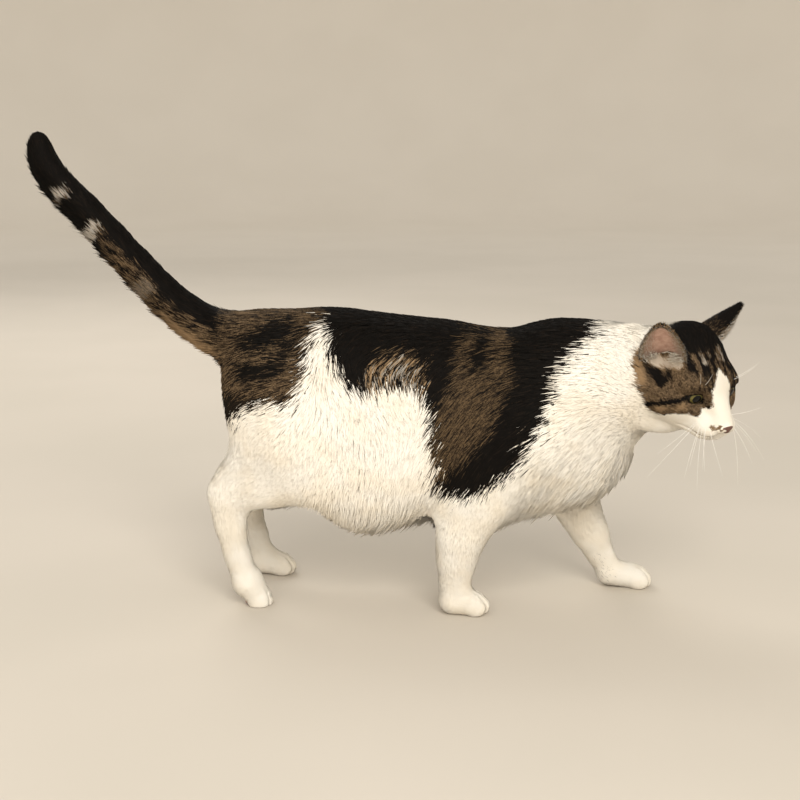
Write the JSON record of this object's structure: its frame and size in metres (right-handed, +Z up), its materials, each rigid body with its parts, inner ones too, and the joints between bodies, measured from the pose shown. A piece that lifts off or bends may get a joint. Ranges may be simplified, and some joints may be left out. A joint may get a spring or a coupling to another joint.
{
  "type": "cat",
  "caption": "Life-size still model of a stout, plush-coated domestic cat walking with its tail raised and its head lowered and turned to its right",
  "frame": {"origin": "on the floor, below the middle of the box that holds the cat", "axes": "+X is ahead of the cat, along its body from tail to chest; +Y is to its left; +Z is up"},
  "size_m": [0.6568, 0.1506, 0.4344],
  "materials": {
    "coat": "soft dense fur, cream white with black and brown tabby patches",
    "ear_skin": "thin pink skin inside the ear, short dark fur on its back",
    "eye": "clear wet eye with an olive iris and a dark pupil",
    "nose_leather": "moist brownish pink nose leather and paw pads"
  },
  "bodies": {
    "root": {"head": "coat", "neck": "coat", "trunk": "coat", "tail_base": "coat", "tail_middle": "coat", "tail_tip": "coat", "foreleg_right": "coat", "foreleg_left": "coat", "hindleg_right": "coat", "hindleg_left": "coat", "forepaw_right": "coat", "forepaw_left": "coat", "hindpaw_right": "coat", "hindpaw_left": "coat", "ear_right": "ear_skin", "ear_left": "ear_skin", "eye_right": "eye", "eye_left": "eye", "nose": "nose_leather"}
  },
  "joints": []
}
